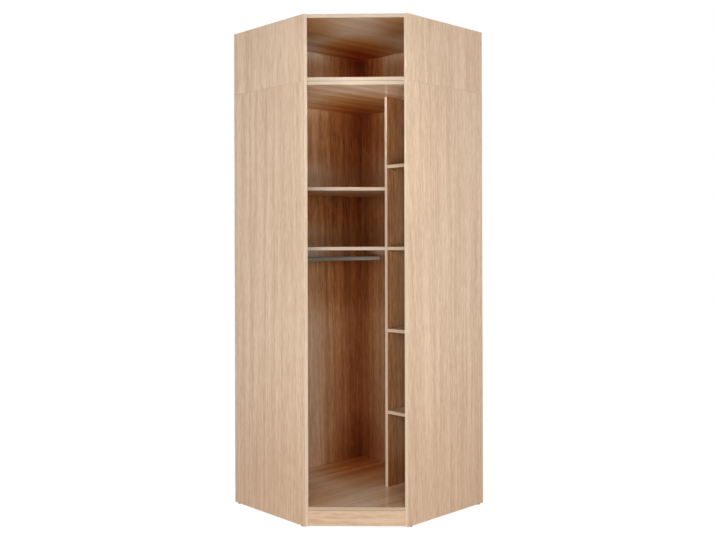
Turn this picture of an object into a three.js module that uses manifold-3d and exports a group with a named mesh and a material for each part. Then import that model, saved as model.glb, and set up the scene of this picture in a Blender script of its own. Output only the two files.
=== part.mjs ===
import * as THREE from 'three';
import { mergeVertices } from 'three/addons/utils/BufferGeometryUtils.js';
import Module from 'manifold-3d';

// An open corner wardrobe for the inside corner of a room, in millimetres, with +Z up.
// Its back walls stand on the -X and +Y sides and its open front is the cut-off corner at +X -Y.
// The origin is on the floor, at the middle of the square that its two walls span.
// Left and right are as seen by someone who stands in front of the open corner.

// Boards
const wallLength = 880;
const sideDepth = 548;
const boardThickness = 18;
const edgeChamfer = 0.8;
const lowerPanelHeight = 2044;
const topPanelHeight = 307.4;
const plinthHeight = 70;
const supportInset = 9;

// Gap between two pieces that touch, and play between a loose shelf and what it stands beside
const fit = 0.3;
const shelfPlay = 0.5;

// Column of shelves on the right
const columnWidth = 287;
const columnDepth = 349.5;
const columnShelfCount = 4;
const firstBayHeight = 363.4;
const topBayHeight = 338.3;

// Wide shelves on the left: the lower one is level with this column shelf, counted from below
const levelShelf = 3;
const wideShelfRise = 297;
const wideShelfEndDepth = 110;

// Hanging rail, between the left side panel and the right back panel
const railDiameter = 22;
const railWall = 1;
const railSetback = 150;
const railDrop = 46;

// Plugs that the rail slides over, and the screw through each
const plugBaseDiameter = 21;
const plugBaseThickness = 3;
const spigotLength = 16;
const spigotLeadIn = 1.5;
const screwDiameter = 4;
const screwHeadDiameter = 8;
const screwHeadHeight = 2.4;
const screwLength = 28;
const screwPoint = 3;

// Shelf pins
const pegDiameter = 5;
const pegLength = 8;
const pinHeadDiameter = 7;
const pinHeadLength = 9;
const pinHeadRound = 1;
const pinSetback = 37;
const pinRearSetback = 60;
const widePinSetback = 69;
const leftBackPinShare = 0.72;
const rightBackPinShare = 0.5;

// Glides, each nailed into the underside of a board
const glideDiameter = 16;
const glideHeight = 4;
const glideRound = 1;
const nailDiameter = 2.4;
const nailLength = 14;
const nailPoint = 3;
const glideSetback = 28;

// Dowels that key the top box to the lower carcass
const dowelDiameter = 8;
const dowelLength = 30;
const dowelChamfer = 1;
const dowelInset = 60;

// Sides of a round piece, and how far a cutter stands out of the face that it cuts
const smallSides = 10;
const railSides = 32;
const cutterOverrun = 2;

// Plan, from the driving sizes
const wallFace = wallLength / 2;
const innerFace = wallFace - boardThickness;
const frontEnd = sideDepth - wallFace;
const dividerRight = innerFace - columnWidth;
const dividerLeft = dividerRight - boardThickness;
const shelfFront = innerFace - columnDepth;
const supportLeft = frontEnd + supportInset;
const supportRight = supportLeft + boardThickness;
const railX = railSetback - innerFace;

// Heights, from the driving sizes
const panelBottom = glideHeight + fit;
const floorUnderside = panelBottom + plinthHeight + fit;
const floorTop = floorUnderside + boardThickness;
const lowerTop = panelBottom + lowerPanelHeight;
const ceiling = lowerTop - boardThickness;
const boxBottom = lowerTop + fit;
const firstShelf = floorTop + firstBayHeight;
const lastShelf = ceiling - topBayHeight - boardThickness;
const columnPitch = (lastShelf - firstShelf) / (columnShelfCount - 1);
const lowWideShelf = firstShelf + (levelShelf - 1) * columnPitch;
const highWideShelf = lowWideShelf + wideShelfRise;
const railHeight = lowWideShelf - railDrop;

const oak = new THREE.MeshStandardMaterial({ color: 0xd2b69c, roughness: 0.6, metalness: 0 });
const slate = new THREE.MeshStandardMaterial({ color: 0x66625a, roughness: 0.4, metalness: 0.6 });
const steel = new THREE.MeshStandardMaterial({ color: 0xb8bab8, roughness: 0.35, metalness: 0.9 });
const beech = new THREE.MeshStandardMaterial({ color: 0xd8b48a, roughness: 0.75, metalness: 0 });
const plastic = new THREE.MeshStandardMaterial({ color: 0x2b2826, roughness: 0.5, metalness: 0 });

const wasm = await Module();
wasm.setup();

const along = {
  right: new THREE.Vector3(1, 0, 0),
  left: new THREE.Vector3(-1, 0, 0),
  back: new THREE.Vector3(0, 1, 0),
  front: new THREE.Vector3(0, -1, 0),
  up: new THREE.Vector3(0, 0, 1),
  down: new THREE.Vector3(0, 0, -1),
};

// An outline in the XY plane, raised to a height, with a chamfer round its lower and upper face
function chamferedPrism(outline, height) {
  const shape = new THREE.Shape(outline.map(([x, y]) => new THREE.Vector2(x, y)));
  const geometry = new THREE.ExtrudeGeometry(shape, {
    depth: height - 2 * edgeChamfer,
    bevelEnabled: true,
    bevelThickness: edgeChamfer,
    bevelSize: edgeChamfer,
    bevelOffset: -edgeChamfer,
    bevelSegments: 1,
  });
  return geometry.translate(0, 0, edgeChamfer);
}

function rectangle(x0, x1, y0, y1) {
  return [[x0, y0], [x1, y0], [x1, y1], [x0, y1]];
}

function namedMesh(name, geometry, material) {
  const mesh = new THREE.Mesh(geometry, material);
  mesh.name = name;
  return mesh;
}

// Stands on its outline in plan, from the height bottom up
function uprightBoard(name, outline, bottom, height) {
  const mesh = namedMesh(name, chamferedPrism(outline, height), oak);
  mesh.position.z = bottom;
  return mesh;
}

// Lies flat: the outline is the plan, and bottom is the height of its underside
function flatBoard(name, outline, bottom) {
  return uprightBoard(name, outline, bottom, boardThickness);
}

// Stands square to the Y axis, from y back towards the front by one thickness
function boardAcrossY(name, outlineXZ, y) {
  const mesh = namedMesh(name, chamferedPrism(outlineXZ, boardThickness), oak);
  mesh.rotation.x = Math.PI / 2;
  mesh.position.y = y;
  return mesh;
}

// Stands square to the X axis, from x towards the right by one thickness
function boardAcrossX(name, outlineYZ, x) {
  const mesh = namedMesh(name, chamferedPrism(outlineYZ, boardThickness), oak);
  mesh.rotation.set(Math.PI / 2, Math.PI / 2, 0);
  mesh.position.x = x;
  return mesh;
}

// A turned piece: its profile is a list of radius and distance along the axis, counted from place
function turned(name, profile, sides, material, place, axis) {
  const points = profile.map(([radius, distance]) => new THREE.Vector2(radius, distance));
  const mesh = namedMesh(name, new THREE.LatheGeometry(points, sides), material);
  mesh.quaternion.setFromUnitVectors(along.back, axis);
  mesh.position.copy(place);
  return mesh;
}

function toSolid(geometry) {
  const bare = geometry.clone();
  bare.deleteAttribute('normal');
  bare.deleteAttribute('uv');
  const merged = mergeVertices(bare);
  return new wasm.Manifold(new wasm.Mesh({
    numProp: 3,
    vertProperties: new Float32Array(merged.attributes.position.array),
    triVerts: new Uint32Array(merged.index.array),
  }));
}

function toGeometry(solid) {
  const cut = solid.getMesh();
  const geometry = new THREE.BufferGeometry();
  geometry.setAttribute('position', new THREE.BufferAttribute(new Float32Array(cut.vertProperties), 3));
  geometry.setIndex(new THREE.BufferAttribute(new Uint32Array(cut.triVerts), 1));
  geometry.computeVertexNormals();
  return geometry;
}

// Drills round blind holes into a board. Each hole has the point where it opens on the board's
// surface and the direction into the board, both in the frame of the board's group.
function drill(mesh, holes) {
  mesh.updateMatrix();
  const toLocal = mesh.matrix.clone().invert();
  let solid = toSolid(mesh.geometry);
  for (const { mouth, into, diameter, depth } of holes) {
    const length = depth + cutterOverrun;
    const cutter = new THREE.CylinderGeometry(diameter / 2, diameter / 2, length, smallSides);
    cutter.translate(0, length / 2 - cutterOverrun, 0);
    cutter.applyQuaternion(new THREE.Quaternion().setFromUnitVectors(along.back, into));
    cutter.translate(mouth.x, mouth.y, mouth.z);
    cutter.applyMatrix4(toLocal);
    solid = solid.subtract(toSolid(cutter));
  }
  mesh.geometry = toGeometry(solid);
  return mesh;
}

// A shelf pin: place is where its axis leaves the panel, and axis points out of the panel
function shelfPin(name, place, axis) {
  const peg = pegDiameter / 2;
  const head = pinHeadDiameter / 2;
  return turned(name, [
    [0, -pegLength],
    [peg, -pegLength],
    [peg, fit],
    [head, fit],
    [head, pinHeadLength - pinHeadRound],
    [head - pinHeadRound, pinHeadLength],
    [0, pinHeadLength],
  ], smallSides, steel, place, axis);
}

function pinHole(place, axis) {
  return {
    mouth: place,
    into: axis.clone().negate(),
    diameter: pegDiameter + 2 * fit,
    depth: pegLength + fit,
  };
}

// A glide: place is the point on the floor under its middle
function glide(name, place) {
  const foot = glideDiameter / 2;
  const nail = nailDiameter / 2;
  return turned(name, [
    [0, 0],
    [foot - glideRound, 0],
    [foot, glideRound],
    [foot, glideHeight],
    [nail, glideHeight],
    [nail, glideHeight + nailLength - nailPoint],
    [0, glideHeight + nailLength],
  ], smallSides, plastic, place, along.up);
}

function nailHole(place) {
  return {
    mouth: new THREE.Vector3(place.x, place.y, panelBottom),
    into: along.up,
    diameter: nailDiameter + 2 * fit,
    depth: nailLength,
  };
}

// Underside heights of the column shelves, from the lowest up
const columnLevels = Array.from({ length: columnShelfCount }, (_, k) => firstShelf + k * columnPitch);
const wideLevels = [lowWideShelf, highWideShelf];

function pinHeight(underside) {
  return underside - fit - pinHeadDiameter / 2;
}

// Where each shelf pin leaves its panel. Pins are grouped by the panel that holds them.
const pinPlaces = { divider: [], rightSide: [], leftSide: [], leftBack: [], rightBack: [] };
columnLevels.forEach((underside, k) => {
  const z = pinHeight(underside);
  const rows = { front: shelfFront + pinSetback, rear: innerFace - pinRearSetback };
  for (const [row, y] of Object.entries(rows)) {
    const left = new THREE.Vector3(dividerRight, y, z);
    const right = new THREE.Vector3(innerFace, y, z);
    pinPlaces.divider.push({ name: `column_pin_${k + 1}_left_${row}`, place: left, axis: along.right });
    pinPlaces.rightSide.push({ name: `column_pin_${k + 1}_right_${row}`, place: right, axis: along.left });
  }
});
wideLevels.forEach((underside, k) => {
  const z = pinHeight(underside);
  const name = `wide_pin_${k + 1}`;
  pinPlaces.leftSide.push({
    name: `${name}_side`,
    place: new THREE.Vector3(wideShelfEndDepth - pinSetback - innerFace, -innerFace, z),
    axis: along.back,
  });
  pinPlaces.leftBack.push({
    name: `${name}_left_back`,
    place: new THREE.Vector3(-innerFace, leftBackPinShare * 2 * innerFace - innerFace, z),
    axis: along.right,
  });
  pinPlaces.rightBack.push({
    name: `${name}_right_back`,
    place: new THREE.Vector3(rightBackPinShare * (dividerLeft + innerFace) - innerFace, innerFace, z),
    axis: along.front,
  });
  pinPlaces.divider.push({
    name: `${name}_divider`,
    place: new THREE.Vector3(dividerLeft, shelfFront + widePinSetback, z),
    axis: along.left,
  });
});

function pinHoles(pins) {
  return pins.map(({ place, axis }) => pinHole(place, axis));
}

// Where each glide stands on the floor
const midBoard = wallFace - boardThickness / 2;
const glidePlaces = {
  leftSide: [
    { name: 'glide_left_front', place: new THREE.Vector3(frontEnd - glideSetback, -midBoard, 0) },
    { name: 'glide_left_rear', place: new THREE.Vector3(glideSetback - wallFace, -midBoard, 0) },
  ],
  rightSide: [
    { name: 'glide_right_front', place: new THREE.Vector3(midBoard, glideSetback - frontEnd, 0) },
    { name: 'glide_right_rear', place: new THREE.Vector3(midBoard, wallFace - glideSetback, 0) },
  ],
  leftBack: [
    { name: 'glide_corner', place: new THREE.Vector3(-midBoard, wallFace - glideSetback, 0) },
  ],
  rightBack: [
    { name: 'glide_right_back', place: new THREE.Vector3(0, midBoard, 0) },
  ],
  support: [
    { name: 'glide_support', place: new THREE.Vector3(supportLeft + boardThickness / 2, 0, 0) },
  ],
};

function nailHoles(glides) {
  return glides.map(({ place }) => nailHole(place));
}

// Plan outline of a floor, top or roof board: a square with its front corner cut off
function deckOutline() {
  const side = innerFace - fit;
  const cut = frontEnd + innerFace;
  return [[-side, -side], [cut - side, -side], [side, side - cut], [side, side], [-side, side]];
}

// The two side and two back panels of one carcass, between two heights
function shell(prefix, bottom, top, holes) {
  return [
    drill(boardAcrossY(`${prefix}_left_side`,
      rectangle(-wallFace, frontEnd, bottom, top), -innerFace), holes.leftSide),
    drill(boardAcrossX(`${prefix}_right_side`,
      rectangle(-frontEnd, wallFace, bottom, top), innerFace), holes.rightSide),
    drill(boardAcrossX(`${prefix}_left_back`,
      rectangle(fit - innerFace, wallFace, bottom, top), -wallFace), holes.leftBack),
    drill(boardAcrossY(`${prefix}_right_back`,
      rectangle(fit - innerFace, innerFace - fit, bottom, top), wallFace), holes.rightBack),
  ];
}

// Dowels stand half in each of the two decks that meet between the carcasses
const dowelPlaces = [
  { name: 'box_dowel_corner', x: dowelInset - innerFace, y: innerFace - dowelInset },
  { name: 'box_dowel_left', x: frontEnd - dowelInset, y: dowelInset - innerFace },
  { name: 'box_dowel_right', x: innerFace - dowelInset, y: dowelInset - frontEnd },
];

function dowelHoles(z, into) {
  return dowelPlaces.map(({ x, y }) => ({
    mouth: new THREE.Vector3(x, y, z),
    into,
    diameter: dowelDiameter + 2 * fit,
    depth: dowelLength / 2,
  }));
}

function boxDowels() {
  const radius = dowelDiameter / 2;
  const length = dowelLength - fit;
  return dowelPlaces.map(({ name, x, y }) => turned(name, [
    [0, 0],
    [radius - dowelChamfer, 0],
    [radius, dowelChamfer],
    [radius, length - dowelChamfer],
    [radius - dowelChamfer, length],
    [0, length],
  ], smallSides, beech, new THREE.Vector3(x, y, boxBottom - fit / 2 - length / 2), along.up));
}

// The ends of the rail: where each plug's base meets its panel, and the way the rail leaves it
const railEnds = [
  { name: 'left', face: new THREE.Vector3(railX, -innerFace, railHeight), out: along.back },
  { name: 'right', face: new THREE.Vector3(railX, innerFace, railHeight), out: along.front },
];

function screwHole(end) {
  return {
    mouth: end.face,
    into: end.out.clone().negate(),
    diameter: screwDiameter + 2 * fit,
    depth: screwLength - spigotLength - plugBaseThickness,
  };
}

function railPlug(end) {
  const bore = screwDiameter / 2 + fit;
  const sink = screwHeadDiameter / 2 + fit;
  const base = plugBaseDiameter / 2;
  const spigot = railDiameter / 2 - railWall - fit;
  const tip = plugBaseThickness + spigotLength;
  return turned(`rail_plug_${end.name}`, [
    [bore, fit],
    [base, fit],
    [base, plugBaseThickness],
    [spigot, plugBaseThickness],
    [spigot, tip - spigotLeadIn],
    [spigot - spigotLeadIn, tip],
    [sink, tip],
    [bore, tip - screwHeadHeight],
    [bore, fit],
  ], railSides, plastic, end.face, end.out);
}

function railScrew(end) {
  const shank = screwDiameter / 2;
  const head = screwHeadDiameter / 2;
  const tip = plugBaseThickness + spigotLength;
  return turned(`rail_screw_${end.name}`, [
    [0, tip - screwLength + fit],
    [shank, tip - screwLength + fit + screwPoint],
    [shank, tip - screwHeadHeight],
    [head, tip],
    [0, tip],
  ], smallSides, steel, end.face, end.out);
}

function hangingRail() {
  const outer = railDiameter / 2;
  const bore = outer - railWall;
  const length = 2 * (innerFace - plugBaseThickness - fit);
  const start = new THREE.Vector3(railX, -length / 2, railHeight);
  return turned('hanging_rail', [
    [bore, 0],
    [outer, 0],
    [outer, length],
    [bore, length],
    [bore, 0],
  ], railSides, slate, start, along.back);
}

// The plinth closes the front under the floor board, with its ends cut to the side panels
function plinthBoard() {
  const depth = boardThickness * Math.SQRT2;
  const side = innerFace - fit;
  const cut = frontEnd + innerFace;
  const outline = [
    [cut - side, -side],
    [side, side - cut],
    [side, side - cut + depth],
    [cut - side - depth, -side],
  ];
  return uprightBoard('plinth', outline, panelBottom, plinthHeight);
}

// Carries the floor board beside the front end of the left side panel, which is below the
// divider here. It runs from the plinth, to which its front end is cut, to the back.
function supportRail() {
  const plinthRear = frontEnd + innerFace - (boardThickness + fit) * Math.SQRT2;
  const outline = [
    [supportLeft, supportLeft - plinthRear],
    [supportRight, supportRight - plinthRear],
    [supportRight, innerFace - fit],
    [supportLeft, innerFace - fit],
  ];
  const rail = uprightBoard('floor_support_rail', outline, panelBottom, plinthHeight);
  return drill(rail, nailHoles(glidePlaces.support));
}

function columnShelf(k) {
  const side = innerFace - shelfPlay;
  const outline = rectangle(dividerRight + shelfPlay, side, shelfFront, side);
  return flatBoard(`column_shelf_${k + 1}`, outline, columnLevels[k]);
}

function wideShelf(name, underside) {
  const side = innerFace - shelfPlay;
  const outline = [
    [-side, -side],
    [wideShelfEndDepth - innerFace, -side],
    [dividerLeft - shelfPlay, shelfFront],
    [dividerLeft - shelfPlay, side],
    [-side, side],
  ];
  return flatBoard(name, outline, underside);
}

function lowerCarcass() {
  const group = new THREE.Group();
  const holes = {
    leftSide: [
      ...pinHoles(pinPlaces.leftSide), ...nailHoles(glidePlaces.leftSide), screwHole(railEnds[0]),
    ],
    rightSide: [...pinHoles(pinPlaces.rightSide), ...nailHoles(glidePlaces.rightSide)],
    leftBack: [...pinHoles(pinPlaces.leftBack), ...nailHoles(glidePlaces.leftBack)],
    rightBack: [
      ...pinHoles(pinPlaces.rightBack), ...nailHoles(glidePlaces.rightBack), screwHole(railEnds[1]),
    ],
  };
  group.add(...shell('lower', panelBottom, lowerTop, holes));
  group.add(flatBoard('lower_floor_board', deckOutline(), floorUnderside));
  group.add(drill(flatBoard('lower_top_board', deckOutline(), ceiling), dowelHoles(lowerTop, along.down)));
  group.add(plinthBoard(), supportRail());
  const divider = boardAcrossX('divider',
    rectangle(shelfFront, innerFace - fit, floorTop + fit, ceiling - fit), dividerLeft);
  group.add(drill(divider, pinHoles(pinPlaces.divider)));
  return group;
}

function shelves() {
  const group = new THREE.Group();
  columnLevels.forEach((_, k) => group.add(columnShelf(k)));
  group.add(wideShelf('wide_shelf_1', lowWideShelf), wideShelf('wide_shelf_2', highWideShelf));
  return group;
}

function topBox() {
  const group = new THREE.Group();
  const holes = { leftSide: [], rightSide: [], leftBack: [], rightBack: [] };
  group.add(...shell('top_box', 0, topPanelHeight, holes));
  group.add(drill(flatBoard('top_box_floor', deckOutline(), 0), dowelHoles(0, along.up)));
  group.add(flatBoard('top_box_roof', deckOutline(), topPanelHeight - boardThickness));
  group.position.z = boxBottom;
  return group;
}

function fittings() {
  const group = new THREE.Group();
  group.add(hangingRail());
  for (const end of railEnds) {
    group.add(railPlug(end), railScrew(end));
  }
  for (const { name, place, axis } of Object.values(pinPlaces).flat()) {
    group.add(shelfPin(name, place, axis));
  }
  for (const { name, place } of Object.values(glidePlaces).flat()) {
    group.add(glide(name, place));
  }
  group.add(...boxDowels());
  return group;
}

const wardrobe = new THREE.Group();
wardrobe.add(lowerCarcass(), shelves(), topBox(), fittings());

export default wardrobe;
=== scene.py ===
"""Looks of an open corner wardrobe in light oak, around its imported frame.

Lengths are in metres. +Z is up, the two back walls stand on the -X and +Y sides, and the open
front is the cut-off corner at +X -Y.
"""

import logging
import math
from collections.abc import Callable, Sequence
from dataclasses import dataclass
from enum import Enum
from typing import Any

import bmesh
import bpy
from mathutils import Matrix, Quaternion, Vector


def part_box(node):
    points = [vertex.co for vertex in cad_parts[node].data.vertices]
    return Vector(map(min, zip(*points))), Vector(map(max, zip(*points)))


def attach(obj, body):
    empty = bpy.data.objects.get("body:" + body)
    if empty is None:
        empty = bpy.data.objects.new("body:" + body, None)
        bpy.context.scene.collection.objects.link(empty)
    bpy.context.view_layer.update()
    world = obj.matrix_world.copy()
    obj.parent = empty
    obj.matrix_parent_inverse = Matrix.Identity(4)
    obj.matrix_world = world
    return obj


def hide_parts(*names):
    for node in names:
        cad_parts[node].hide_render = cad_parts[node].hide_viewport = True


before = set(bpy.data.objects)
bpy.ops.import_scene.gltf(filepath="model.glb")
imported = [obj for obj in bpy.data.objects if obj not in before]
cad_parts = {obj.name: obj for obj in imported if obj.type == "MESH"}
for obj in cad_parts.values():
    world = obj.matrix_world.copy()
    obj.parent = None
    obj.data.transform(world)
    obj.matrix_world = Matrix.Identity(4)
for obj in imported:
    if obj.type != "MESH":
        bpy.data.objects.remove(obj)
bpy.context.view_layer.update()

log = logging.getLogger("wardrobe")

MM = 0.001
HALF_ROOT = math.sqrt(0.5)
PICTURE_WIDTH = 716
PICTURE_HEIGHT = 540
COLUMN_SHELVES = 4
WIDE_SHELVES = 2
NOISE_MIDDLE = 0.5

Material = bpy.types.Material
Shape = bmesh.types.BMesh
Ring = list[bmesh.types.BMVert]
Colour = tuple[float, float, float]
Point = tuple[float, float, float]
Span = tuple[float, float]
Profile = list[Span]

WHITE: Colour = (1.0, 1.0, 1.0)


class Axis(Enum):
    """A direction in the wardrobe's frame."""

    RIGHT = (1.0, 0.0, 0.0)
    LEFT = (-1.0, 0.0, 0.0)
    BACK = (0.0, 1.0, 0.0)
    FRONT = (0.0, -1.0, 0.0)
    UP = (0.0, 0.0, 1.0)
    ALONG_OPENING = (HALF_ROOT, HALF_ROOT, 0.0)
    OUT_OF_OPENING = (HALF_ROOT, -HALF_ROOT, 0.0)

    @property
    def vector(self) -> Vector:
        """The direction as a vector of length one."""
        return Vector(self.value)


class Slot(Enum):
    """The record's material slots."""

    OAK = "oak_board"
    RAIL = "rail_metal"
    PIN = "pin_steel"
    DOWEL = "beech_dowel"
    PLASTIC = "dark_plastic"


class Wire:
    """An output socket of a shader sheet, on which arithmetic adds Math nodes."""

    def __init__(self, sheet: "Sheet", socket: bpy.types.NodeSocket) -> None:
        """Keep the sheet and its socket."""
        self.sheet = sheet
        self.socket = socket

    def maths(self, operation: str, *terms: "Wire | float") -> "Wire":
        """The result of a Math node, whose terms are values or wires."""
        return self.sheet.node("ShaderNodeMath", {"operation": operation}, dict(enumerate(terms)))

    def __add__(self, other: "Wire | float") -> "Wire":
        """Sum."""
        return self.maths("ADD", self, other)

    def __radd__(self, other: float) -> "Wire":
        """Sum with a number first."""
        return self.maths("ADD", other, self)

    def __sub__(self, other: "Wire | float") -> "Wire":
        """Difference."""
        return self.maths("SUBTRACT", self, other)

    def __rsub__(self, other: float) -> "Wire":
        """Difference from a number."""
        return self.maths("SUBTRACT", other, self)

    def __mul__(self, other: "Wire | float") -> "Wire":
        """Product."""
        return self.maths("MULTIPLY", self, other)

    def __rmul__(self, other: float) -> "Wire":
        """Product with a number first."""
        return self.maths("MULTIPLY", other, self)

    def __truediv__(self, other: "Wire | float") -> "Wire":
        """Quotient."""
        return self.maths("DIVIDE", self, other)

    def __pow__(self, power: float) -> "Wire":
        """Power."""
        return self.maths("POWER", self, power)

    def __abs__(self) -> "Wire":
        """Size without sign."""
        return self.maths("ABSOLUTE", self)

    def larger(self, other: "Wire | float") -> "Wire":
        """The larger of two values."""
        return self.maths("MAXIMUM", self, other)

    def rise(self, low: float, high: float) -> "Wire":
        """A smooth step from 0 at low to 1 at high."""
        settings = {"interpolation_type": "SMOOTHSTEP"}
        return self.sheet.node("ShaderNodeMapRange", settings, {0: self, 1: low, 2: high})


class Sheet:
    """A node tree that is filled by expressions."""

    MIX_FACTOR, MIX_A, MIX_B, MIX_RESULT = 0, 6, 7, 2

    def __init__(self, tree: bpy.types.NodeTree) -> None:
        """Empty the tree."""
        self.tree = tree
        tree.nodes.clear()

    def node(
        self,
        kind: str,
        settings: dict[str, Any] | None = None,
        sockets: dict[Any, Any] | None = None,
        output: int | str = 0,
    ) -> Wire | None:
        """Add a node of any kind.

        Args:
            kind: the node's type.
            settings: its properties, which are set first.
            sockets: values or wires of its input sockets, by name or number.
            output: the name or number of the output socket.

        Returns:
            The output socket, or None for a node that has none.
        """
        made = self.tree.nodes.new(kind)
        for name, value in (settings or {}).items():
            setattr(made, name, value)
        for key, value in (sockets or {}).items():
            if isinstance(value, Wire):
                self.tree.links.new(value.socket, made.inputs[key])
            else:
                made.inputs[key].default_value = value
        return Wire(self, made.outputs[output]) if made.outputs else None

    def place(self) -> Wire:
        """The point on the surface, in the wardrobe's frame."""
        return self.node("ShaderNodeTexCoord", output="Object")

    def normal(self) -> Wire:
        """The direction that the surface faces, in the wardrobe's frame."""
        return self.node("ShaderNodeTexCoord", output="Normal")

    def vector_maths(self, operation: str, *terms: Any, output: int | str = 0) -> Wire:
        """The result of a Vector Math node, whose terms are values or wires."""
        sockets = dict(enumerate(terms))
        return self.node("ShaderNodeVectorMath", {"operation": operation}, sockets, output)

    def dot(self, a: Wire, b: "Wire | Sequence[float]") -> Wire:
        """The length of one vector along another."""
        return self.vector_maths("DOT_PRODUCT", a, b, output="Value")

    def length(self, a: Wire) -> Wire:
        """The length of a vector."""
        return self.vector_maths("LENGTH", a, output="Value")

    def vector(self, x: "Wire | float", y: "Wire | float", z: "Wire | float") -> Wire:
        """A vector from three values."""
        return self.node("ShaderNodeCombineXYZ", None, {0: x, 1: y, 2: z})

    def noise(self, at: Wire, detail: float = 2.0, roughness: float = 0.5) -> Wire:
        """Noise from 0 to 1, about one lump to each unit of the place vector."""
        sockets = {"Vector": at, "Scale": 1.0, "Detail": detail, "Roughness": roughness}
        return self.node("ShaderNodeTexNoise", {"noise_dimensions": "3D"}, sockets)

    def clouds(self, at: Wire, size: Point, detail: float = 2.0) -> Wire:
        """Noise whose lumps have this size in the three directions."""
        finer = self.vector_maths("MULTIPLY", at, [1 / part for part in size])
        return self.noise(finer, detail)

    def pick(self, factor: "Wire | float", a: Any, b: Any, blend: str = "MIX") -> Wire:
        """Mix two colours.

        Args:
            factor: 0 gives the first colour, 1 the second.
            a: the first colour.
            b: the second colour.
            blend: the kind of mix.

        Returns:
            The mixed colour.
        """
        settings = {"data_type": "RGBA", "blend_type": blend}
        sockets = {self.MIX_FACTOR: factor, self.MIX_A: opaque(a), self.MIX_B: opaque(b)}
        return self.node("ShaderNodeMix", settings, sockets, self.MIX_RESULT)

    def bump(self, height: Wire, depth: float, strength: float) -> Wire:
        """The normal that is bent by a height map, where a height of 1 is that deep."""
        sockets = {"Height": height, "Distance": depth, "Strength": strength}
        return self.node("ShaderNodeBump", None, sockets)

    def looked_at(self) -> Wire:
        """Tell the rays that show a surface, straight, mirrored or through glass.

        Returns:
            1 for these rays and 0 for others.
        """
        rays = ("Camera", "Glossy", "Transmission")
        camera, glossy, through = (
            self.node("ShaderNodeLightPath", output=f"Is {ray} Ray") for ray in rays
        )
        return camera.larger(glossy).larger(through)

    def blend(self, factor: "Wire | float", a: Wire, b: Wire) -> Wire:
        """Mix two shaders."""
        return self.node("ShaderNodeMixShader", None, {0: factor, 1: a, 2: b})

    def glow(self, kind: str, strength: float) -> Wire:
        """A white emission or background shader."""
        return self.node(kind, None, {"Color": opaque(WHITE), "Strength": strength})

    def end_in(self, kind: str, shader: Wire) -> None:
        """Lead a shader to an output node."""
        self.node(kind, None, {"Surface": shader})

    def end_in_surface(self, sockets: dict[str, Any]) -> None:
        """Lead these sockets through a Principled shader to a material output."""
        shader = self.node("ShaderNodeBsdfPrincipled", None, sockets)
        self.end_in("ShaderNodeOutputMaterial", shader)


def opaque(colour: "Wire | Colour") -> "Wire | tuple[float, ...]":
    """The colour with an alpha of 1, unless it is a wire."""
    return colour if isinstance(colour, Wire) else (*colour, 1.0)


def new_material(name: str) -> tuple[Material, Sheet]:
    """Make a material.

    Args:
        name: the material's name.

    Returns:
        The material and its empty sheet.
    """
    material = bpy.data.materials.new(name)
    material.use_nodes = True
    return material, Sheet(material.node_tree)


@dataclass(frozen=True)
class ShadeStep:
    """Painted shade that is added above a height, everywhere and on top of that in the corner; a
    negative gain paints light.
    """

    begin: float
    end: float
    everywhere: float
    in_corner: float = 0.0


@dataclass(frozen=True)
class PaintedShade:
    """Painted shade inside the wardrobe: how a board's colour darkens and deepens in hue towards its
    rear corner.

    The powers say how strongly red, green and blue follow. at_corner is how deep the painted shade is
    in the corner, reach is where that fades out, counted from the corner, and least always stays.
    On top come foot, painted shade where the corner meets the floor, to_the_rear, which changes the
    painted shade near the right back panel, and the steps, bands of painted light and shade by
    height.
    beside_panels paints shade on the front corners next to the side panels.
    """

    powers: Colour
    at_corner: float
    reach: float
    least: float = 0.0
    foot: float = 0.0
    to_the_rear: float = 0.0
    beside_panels: float = 0.0
    steps: tuple[ShadeStep, ...] = ()


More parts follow.
